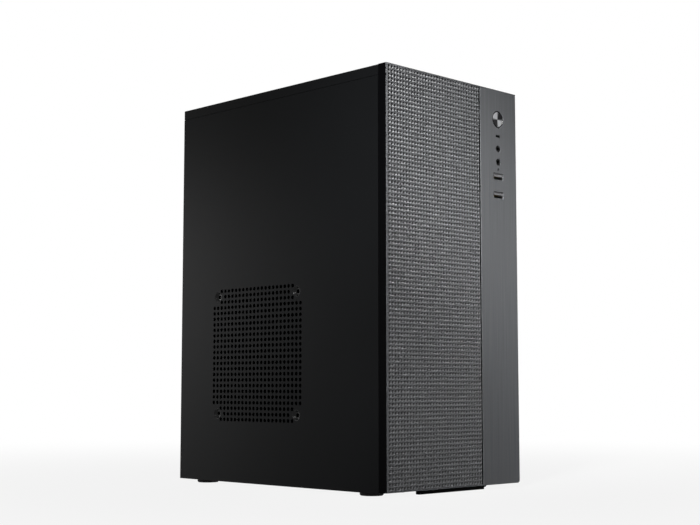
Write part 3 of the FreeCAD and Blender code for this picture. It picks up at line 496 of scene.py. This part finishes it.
def socket_shell(node):
    """Folded tin shell with a rounded mouth."""
    lo, hi = box_mm(node)
    build = Build()
    mouth = box_shape(lo.x + SHELL_WALL, hi.x - SHELL_WALL, lo.z + SHELL_WALL,
                      hi.z - SHELL_WALL, [0.25] * 4)
    build.plate(box_shape(lo.x, hi.x, lo.z, hi.z, [0.6] * 4), [mouth], lo.y, hi.y, SHELL_EDGE)
    return build.mesh("shell", SHARP)


def tongue_block(node):
    """Block above the plug's space, which reaches the shell's upper wall."""
    lo, hi = box_mm(node)
    shell_lo, shell_hi = box_mm(node.replace("tongue", "shell"))
    build = Build()
    outline = box_shape(shell_lo.x + INSERT_SIDE, shell_hi.x - INSERT_SIDE, lo.z,
                        shell_hi.z - INSERT_TOP, [0.15] * 4)
    build.plate(outline, [], lo.y - INSERT_LEAD, hi.y, 0.15)
    return build.mesh("tongue", SHARP)


def contacts(node):
    """Four flat contacts under a socket's tongue."""
    lo, hi = box_mm(node)
    low, high = lo.z - 0.12, lo.z + 0.05
    build = Build()
    for place in CONTACT_PLACES:
        x = (lo.x + hi.x) / 2 + place
        build.prism([(x - CONTACT_HALF, low), (x + CONTACT_HALF, low), (x + CONTACT_HALF, high),
                     (x - CONTACT_HALF, high)],
                    lambda u, v, w: (u, w, v), lo.y + 0.8, lo.y + 8.0)
    return build.mesh("contacts")


def turned_y(name, node, profile, sides=72):
    """Turned piece at a node's height, from the face of the strip back."""
    build = Build()
    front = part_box("brushed_strip")[0].y / MM
    build.lathe(profile, (PORT_X, front, middle(node).z), (0, 1, 0), sides)
    return build.mesh(name, SHARP)


# Screws
HEAD_RADIUS = 3.0
HEAD_HEIGHT = 2.2
SHANK_RADIUS = 1.5
SHANK_LENGTH = 6.0
SCREW_SIDES = 40
RECESS_ARM = HEAD_RADIUS * 0.56
RECESS_HALF = HEAD_RADIUS * 0.13


def cross_screw(seat, axis):
    """Pan-head screw with a cross recess: the head stands along the axis from its seat."""
    dome = [(HEAD_RADIUS * math.sin(math.radians(a)) if a else 0.0,
             HEAD_HEIGHT * 0.45 + HEAD_HEIGHT * 0.55 * math.cos(math.radians(a)))
            for a in range(0, 91, 10)]
    shank = [(HEAD_RADIUS, 0.15), (HEAD_RADIUS - 0.15, 0.0), (SHANK_RADIUS, 0.0),
             (SHANK_RADIUS, -SHANK_LENGTH + 0.6), (SHANK_RADIUS * 0.55, -SHANK_LENGTH),
             (0, -SHANK_LENGTH)]
    head = Build()
    head.lathe(dome + shank, seat, axis, SCREW_SIDES)
    axis = Vector(axis)
    side = axis.orthogonal().normalized()
    third = axis.cross(side)
    outline = []
    for quarter in range(4):
        turn = math.radians(90 * quarter)
        u = side * math.cos(turn) + third * math.sin(turn)
        v = -side * math.sin(turn) + third * math.cos(turn)
        outline += [u * RECESS_ARM - v * RECESS_HALF, u * RECESS_ARM + v * RECESS_HALF,
                    u * RECESS_HALF * 1.4 + v * RECESS_HALF * 1.4]
    recess = Build()
    top = recess.points(Vector(seat) + axis * (HEAD_HEIGHT + 0.5) + p for p in outline)
    deep = recess.points(Vector(seat) + axis * (HEAD_HEIGHT * 0.28) + p * 0.55 for p in outline)
    recess.quads(top, deep)
    recess.face(top)
    recess.face(deep)
    result = carved(head.mesh("screw"), recess.mesh("recess"))
    shade(result, SHARP)
    return result


# Shader nodes
def node_of(tree, kind):
    return next(node for node in tree.nodes if node.type == kind)


def feed(tree, node, inputs):
    """Gives each input its number or colour, or the socket that drives it."""
    for key, value in inputs.items():
        if isinstance(value, bpy.types.NodeSocket):
            tree.links.new(value, node.inputs[key])
        else:
            node.inputs[key].default_value = value


def add(tree, kind, inputs=None, **settings):
    """New node with its settings and inputs."""
    node = tree.nodes.new("ShaderNode" + kind)
    for key, value in settings.items():
        setattr(node, key, value)
    feed(tree, node, inputs or {})
    return node


def calc(tree, operation, *values):
    return add(tree, "Math", dict(enumerate(values)), operation=operation).outputs[0]


def graph(name):
    """New material with its tree and its shader."""
    material = bpy.data.materials.new(name)
    material.use_nodes = True
    return material, material.node_tree, node_of(material.node_tree, "BSDF_PRINCIPLED")


def coordinates(tree, scale=(1, 1, 1), location=(0, 0, 0)):
    place = add(tree, "TexCoord").outputs["Object"]
    return add(tree, "Mapping", {"Vector": place, "Scale": scale,
                                 "Location": location}).outputs["Vector"]


def noise(tree, scale, detail, stretch=(1, 1, 1), roughness=0.5):
    return add(tree, "TexNoise", {"Scale": scale, "Detail": detail, "Roughness": roughness,
                                  "Vector": coordinates(tree, stretch)}).outputs["Fac"]


def ramp(tree, value, *stops):
    """Colour between two stops of (value, colour)."""
    node = add(tree, "ValToRGB", {"Fac": value})
    for index, (position, colour) in enumerate(stops):
        node.color_ramp.elements[index].position = position
        node.color_ramp.elements[index].color = (*colour, 1)
    return node.outputs["Color"]


def spread(tree, value, low, high):
    """A value from 0 to 1 as one from low to high."""
    return add(tree, "MapRange",
               {"To Min": low, "To Max": high, "Value": value}).outputs["Result"]


def bump(tree, shader, value, strength, distance):
    node = add(tree, "Bump", {"Strength": strength, "Distance": distance, "Height": value})
    feed(tree, shader, {"Normal": node.outputs["Normal"]})


def along_y(tree):
    """Where a point of the surface is along Y."""
    return add(tree, "SeparateXYZ", {"Vector": coordinates(tree)}).outputs["Y"]


# Materials
FRONT = cad_box[0][1]
GRAIN_BUMP = 0.00008
BRUSHED_BUMP = (0.12, 0.00006)
# how far behind the front face the bezel's painted light reaches
LIT_FRONT_DEPTH = 0.4 * MM
# depths behind the front over which the painted shade darkens the pits' colour
PAINTED_SHADE_DEPTHS = (0.35 * MM, 0.95 * MM)
PAINTED_LOBE_TURN = 90.0      # turns the painted reflection's bright sectors to the button's upper left and lower right


def grained(name, dark, light, roughness, grain, *, specular=0.3, bump_strength=0.2):
    """Painted or moulded surface: slight mottling of colour, varied gloss and a fine grain."""
    material, tree, shader = graph(name)
    broad = noise(tree, 9.0, 4.0)
    fine = noise(tree, grain, 3.0)
    mixed = add(tree, "Mix", {0: 0.45, 2: broad, 3: fine}, data_type="FLOAT")
    feed(tree, shader, {
        "Base Color": ramp(tree, mixed.outputs[0], (0.3, dark), (0.7, light)),
        "Roughness": spread(tree, fine, roughness - 0.06, roughness + 0.06),
        "Specular IOR Level": specular})
    bump(tree, shader, fine, bump_strength, GRAIN_BUMP)
    return material


def brushed(name, dark, light, roughness, stretch, *, metallic=0.0, specular=0.3):
    """Finely brushed surface: long streaks in colour, gloss and relief."""
    material, tree, shader = graph(name)
    streak = noise(tree, 1.0, 6.0, stretch, 0.65)
    feed(tree, shader, {
        "Base Color": ramp(tree, streak, (0.3, dark), (0.7, light)),
        "Roughness": spread(tree, streak, roughness - 0.08, roughness + 0.08),
        "Specular IOR Level": specular, "Metallic": metallic})
    bump(tree, shader, streak, *BRUSHED_BUMP)
    return material


def painted_lit_front(material, colour):
    """Painted light and shade: the front face of a moulding is painted paler, as lit, than its
    sides, as shaded; the colour changes a little behind the face.
    """
    tree = material.node_tree
    base = node_of(tree, "BSDF_PRINCIPLED").inputs["Base Color"]
    near = calc(tree, "LESS_THAN", along_y(tree), FRONT + LIT_FRONT_DEPTH)
    mixed = add(tree, "Mix", {"Factor": near, "A": base.links[0].from_socket,
                              "B": (*colour, 1)}, data_type="RGBA")
    tree.links.new(mixed.outputs["Result"], base)


def painted_pit_shade(material, share):
    """Painted shade: the colour darkens low in the pits of the front plate, down to a share of
    itself.
    """
    tree = material.node_tree
    base = node_of(tree, "BSDF_PRINCIPLED").inputs["Base Color"]
    deep = add(tree, "MapRange", {"From Min": FRONT + PAINTED_SHADE_DEPTHS[0],
                                  "From Max": FRONT + PAINTED_SHADE_DEPTHS[1], "To Min": 1.0,
                                  "To Max": share, "Value": along_y(tree)})
    darker = add(tree, "VectorMath", {0: base.links[0].from_socket,
                                      "Scale": deep.outputs["Result"]}, operation="SCALE")
    tree.links.new(darker.outputs["Vector"], base)


def painted_reflection_lobes(tree, vector):
    """Painted reflection: two bright and two dark sectors in the colour, as a disc turned on a
    lathe shows them.
    """
    parts = add(tree, "SeparateXYZ", {"Vector": vector}).outputs
    angle = calc(tree, "ARCTAN2", parts["Z"], parts["X"])
    double = calc(tree, "MULTIPLY_ADD", angle, 2.0, math.radians(PAINTED_LOBE_TURN))
    wave = calc(tree, "MULTIPLY_ADD", calc(tree, "COSINE", double), 0.5, 0.5)
    return ramp(tree, wave, (0.30, (0.010, 0.010, 0.011)), (0.74, (0.34, 0.345, 0.355)))


def spun(name, centre):
    """Metal disc turned on a lathe: rings about its centre in its relief, and bright sectors
    painted into its colour as a reflection.
    """
    material, tree, shader = graph(name)
    centred = coordinates(tree, location=(-centre[0], 0.0, -centre[2]))
    rings = add(tree, "TexWave", {"Scale": 900.0, "Distortion": 1.2, "Detail": 3.0,
                                  "Vector": centred}, wave_type="RINGS", rings_direction="Y")
    feed(tree, shader, {"Base Color": painted_reflection_lobes(tree, centred), "Metallic": 1.0, "Roughness": 0.3,
                        "Anisotropic": 0.85})
    bump(tree, shader, rings.outputs["Fac"], 0.06, 0.00003)
    return material


button_low, button_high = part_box("power_button")
MATERIALS = {
    "black_steel": grained(
        "black_powder_coat", (0.0021, 0.0023, 0.0026), (0.0034, 0.0037, 0.0041), 0.42, 1500.0,
        specular=0.03),
    # near black: the bezel's sides, painted as shaded against its paler front face
    "bezel_plastic": grained(
        "bezel_plastic", (0.0005, 0.0005, 0.0007), (0.0010, 0.0010, 0.0012), 0.46, 1900.0,
        specular=0.01),
    "texture_plastic": grained(
        "pitted_plastic", (0.076, 0.078, 0.082), (0.097, 0.099, 0.104), 0.34, 2500.0,
        bump_strength=0.06),
    "brushed_plate": brushed(
        "brushed_plate", (0.096, 0.099, 0.104), (0.154, 0.158, 0.165), 0.42,
        (2600.0, 2600.0, 10.0), specular=0.03),
    "ring_plastic": grained(
        "ring_gloss", (0.006, 0.006, 0.0065), (0.009, 0.009, 0.0095), 0.2, 1500.0,
        specular=0.5, bump_strength=0.02),
    # its bright and dark sectors are a painted reflection
    "button_metal": spun("spun_metal", (button_low + button_high) / 2),
    "zinc_screw": brushed(
        "zinc", (0.33, 0.335, 0.34), (0.52, 0.52, 0.53), 0.34, (900.0, 900.0, 900.0),
        metallic=1.0),
    "brass": brushed(
        "brass", (0.50, 0.36, 0.14), (0.66, 0.50, 0.23), 0.3, (900.0, 900.0, 900.0),
        metallic=1.0),
    "foot_rubber": grained(
        "rubber", (0.008, 0.008, 0.008), (0.014, 0.014, 0.014), 0.75, 700.0, specular=0.2),
    "board_laminate": grained(
        "laminate", (0.006, 0.045, 0.024), (0.010, 0.062, 0.033), 0.35, 400.0),
    "socket_plastic": grained(
        "socket_plastic", (0.003, 0.003, 0.003), (0.005, 0.005, 0.005), 0.4, 1500.0,
        specular=0.08),
    "socket_metal": brushed(
        "tinned", (0.16, 0.16, 0.165), (0.24, 0.24, 0.245), 0.36, (500.0, 60.0, 500.0),
        metallic=1.0),
    "tongue_plastic": grained(
        "tongue", (0.13, 0.13, 0.135), (0.17, 0.17, 0.175), 0.45, 1200.0, bump_strength=0.05),
    "lens_plastic": grained(
        "light_pipe", (0.002, 0.002, 0.0022), (0.0035, 0.0035, 0.004), 0.25, 900.0,
        specular=0.03, bump_strength=0.03),
}
# painted light and shade: the bezel's front face painted pale as lit, its sides near black as
# shaded
painted_lit_front(MATERIALS["bezel_plastic"], (0.115, 0.118, 0.124))
# painted shade in the front plate's pits, darker towards their floors
painted_pit_shade(MATERIALS["texture_plastic"], 0.08)
pressed_steel = grained(
    "pressed_powder_coat", (0.0020, 0.0020, 0.0021), (0.0032, 0.0032, 0.0034), 0.28, 900.0,
    specular=0.16, bump_strength=0.04)

# Carried-over solids
slot_of = {row["node"]: row["material_slot"] for row in frame["record"]["subparts"]}
body_of = {node: body for body, names in frame["record"]["behaviour"]["bodies"].items()
           for node in names}
for name, node in frame["nodes"].items():
    node.data.materials.clear()
    node.data.materials.append(MATERIALS[slot_of[name]])
    shade(node.data, SHARP)


# Pieces of the scene
def dress(name, mesh, *replaced, body=None, slot=None, material=None):
    """Adds a piece, which takes its body and, through the slot, its material from the solid that
    it replaces; the replaced solids are hidden.
    """
    body = body or body_of[replaced[0]]
    slot = slot or slot_of[replaced[0]]
    mesh.materials.clear()
    mesh.materials.append(material or MATERIALS[slot])
    piece = bpy.data.objects.new(name, mesh)
    bpy.context.scene.collection.objects.link(piece)
    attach(piece, body)
    if replaced:
        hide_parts(*replaced)


dress("left_panel_skin", side_panel(), "left_side_panel")
dress("vent_dishes", dishes(), body=body_of["left_side_panel"], slot="black_steel",
      material=pressed_steel)
dress("front_pits", pitted_plate(), "textured_panel")
dress("strip_face", strip(), "brushed_strip")
dress("seam_rib", seam_rib(), body="front_cover", slot="bezel_plastic")
dress("button_disc", turned_y("disc", "power_button", BUTTON_PROFILE), "power_button")
dress("button_bezel_ring", turned_y("ring", "button_ring", RING_PROFILE), "button_ring")
for place in ("upper", "lower"):
    dress(f"usb_mouth_{place}", socket_shell(f"usb_shell_{place}"), f"usb_shell_{place}")
    dress(f"usb_insert_{place}", tongue_block(f"usb_tongue_{place}"), f"usb_tongue_{place}")
    dress(f"usb_contacts_{place}", contacts(f"usb_tongue_{place}"), body="front_cover",
          slot="brass")

# Screws where the solids have theirs
REAR_SEAT = 126.5
LEDGE_SEAT = -46.8
LEDGE_SCREW_Y = 132.7
TOP_SLOT_HEIGHT = 80.5
SLOT_PITCH = 20.32

for side, label in ((-1, "left"), (1, "right")):
    dress(f"{label}_panel_screw_set",
          joined("screws", [cross_screw((side * PANEL_SCREW_X, REAR_SEAT, z), (0, 1, 0))
                            for z in PANEL_SCREW_HEIGHTS]), f"{label}_panel_screws")
dress("slot_screw_set",
      joined("screws", [cross_screw((LEDGE_SEAT, LEDGE_SCREW_Y, TOP_SLOT_HEIGHT - SLOT_PITCH * n),
                                    (-1, 0, 0)) for n in range(4)]), "slot_cover_screws")


# Floor, light and camera
FLOOR_REACH = 9000
SHADE_CARD_DEPTH = 9.0      # from the side panel's face to the painted-shade card
SHADE_CARD_MARGIN = 12.0    # how far the painted-shade card stands out beyond the vent
LENS = 66.42
YAW, PITCH = math.radians(44.853), math.radians(5.523)
EYE = (-0.82524, -0.84224, 0.08703)


def stage_sheet(name, corners):
    """Flat sheet that isn't part of the object: its tree and its dull shader."""
    mesh = mesh_from(name, corners, [(0, 1, 2, 3)])
    sheet = bpy.data.objects.new(name, mesh)
    bpy.context.scene.collection.objects.link(sheet)
    material, tree, shader = graph(name)
    feed(tree, shader, {"Specular IOR Level": 0.0})
    mesh.materials.append(material)
    return tree, shader


def seen_directly(tree):
    """1 for what the eye, a reflection or glass shows, 0 for light that is cast."""
    rays = add(tree, "LightPath").outputs
    seen = rays["Is Camera Ray"]
    for name in ("Is Glossy Ray", "Is Transmission Ray"):
        seen = calc(tree, "MAXIMUM", seen, rays[name])
    return seen


def floor():
    """Floor that looks white, and near the object a little less so, where the shadow shows."""
    reach = FLOOR_REACH
    tree, shader = stage_sheet("floor", [(-reach, -reach, 0), (reach, -reach, 0),
                                         (reach, reach, 0), (-reach, reach, 0)])
    feed(tree, shader, {"Base Color": (0.22, 0.22, 0.22, 1), "Roughness": 0.9})
    glow = add(tree, "Emission", {"Color": (1, 1, 1, 1), "Strength": 1.0})
    place = add(tree, "TexCoord").outputs["Object"]
    distance = add(tree, "VectorMath", {0: place}, operation="LENGTH")
    fade = add(tree, "MapRange", {"From Min": 0.15, "From Max": 1.1, "To Min": 0.88,
                                  "To Max": 1.0, "Value": distance.outputs["Value"]},
               interpolation_type="SMOOTHSTEP")
    share = calc(tree, "MULTIPLY", seen_directly(tree), fade.outputs["Result"])
    mixed = add(tree, "MixShader", {"Fac": share, 1: shader.outputs[0], 2: glow.outputs[0]})
    feed(tree, node_of(tree, "OUTPUT_MATERIAL"), {"Surface": mixed.outputs[0]})


def painted_shade_card():
    """Painted shade: a black card inside the case, which keeps the bright studio out of the
    vent's holes so that they look dark.
    """
    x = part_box("left_side_panel")[0].x / MM + SHADE_CARD_DEPTH
    reach = VENT_COUNT * VENT_PITCH / 2 + SHADE_CARD_MARGIN
    y, z = VENT_CENTRE
    tree, shader = stage_sheet("painted_shade_card", [(x, y - reach, z - reach), (x, y + reach, z - reach),
                                        (x, y + reach, z + reach), (x, y - reach, z + reach)])
    feed(tree, shader, {"Base Color": (0.0015, 0.0015, 0.0015, 1), "Roughness": 1.0})


def world():
    """White where it is seen, faint as a light."""
    studio = bpy.data.worlds.new("studio")
    bpy.context.scene.world = studio
    studio.use_nodes = True
    tree = studio.node_tree
    feed(tree, node_of(tree, "BACKGROUND"),
         {"Color": (1, 1, 1, 1), "Strength": spread(tree, seen_directly(tree), 0.11, 1.0)})


def area_light(name, place, target, size, power, spread_angle=180.0):
    """Lamp at a place, aimed at a target: size in metres, power in watts, spread in degrees."""
    data = bpy.data.lights.new(name, "AREA")
    data.shape = "RECTANGLE"
    data.size, data.size_y = size
    data.energy = power
    data.spread = math.radians(spread_angle)
    lamp = bpy.data.objects.new(name, data)
    lamp.location = place
    lamp.rotation_euler = (Vector(target) - Vector(place)).to_track_quat("-Z", "Y").to_euler()
    bpy.context.scene.collection.objects.link(lamp)


def camera():
    """Camera at the photograph's angle."""
    data = bpy.data.cameras.new("camera")
    data.sensor_width = 36.0
    data.lens = LENS
    eye = bpy.data.objects.new("camera", data)
    bpy.context.scene.collection.objects.link(eye)
    ahead = Vector((math.sin(YAW) * math.cos(PITCH), math.cos(YAW) * math.cos(PITCH),
                    math.sin(PITCH)))
    right = Vector((math.cos(YAW), -math.sin(YAW), 0))
    above = right.cross(ahead)
    turn = Matrix((right, above, -ahead)).transposed().to_4x4()
    eye.matrix_world = Matrix.Translation(EYE) @ turn
    bpy.context.scene.camera = eye


floor()
# black card put in as painted shade inside the case, behind the vent
painted_shade_card()
world()
area_light("key", (-1.02, -0.63, 1.0), (0.02, -0.14, 0.242), (0.18, 0.18), 0.57, 15.5)
area_light("low", (-1.05, -0.65, 0.8), (-0.08, -0.14, 0.055), (0.12, 0.12), 0.05, 8.5)
area_light("fill", (1.2, -1.6, 0.9), (0, 0, 0.2), (1.6, 1.6), 0.8)
area_light("back", (-0.9, 1.4, 0.24), (-0.084, 0.17, 0.035), (0.12, 0.5), 0.145, 18.0)
area_light("rear", (1.2, 1.5, 1.0), (0, 0, 0.2), (1.2, 1.2), 22.0)
camera()
bpy.context.scene.view_settings.view_transform = "Standard"
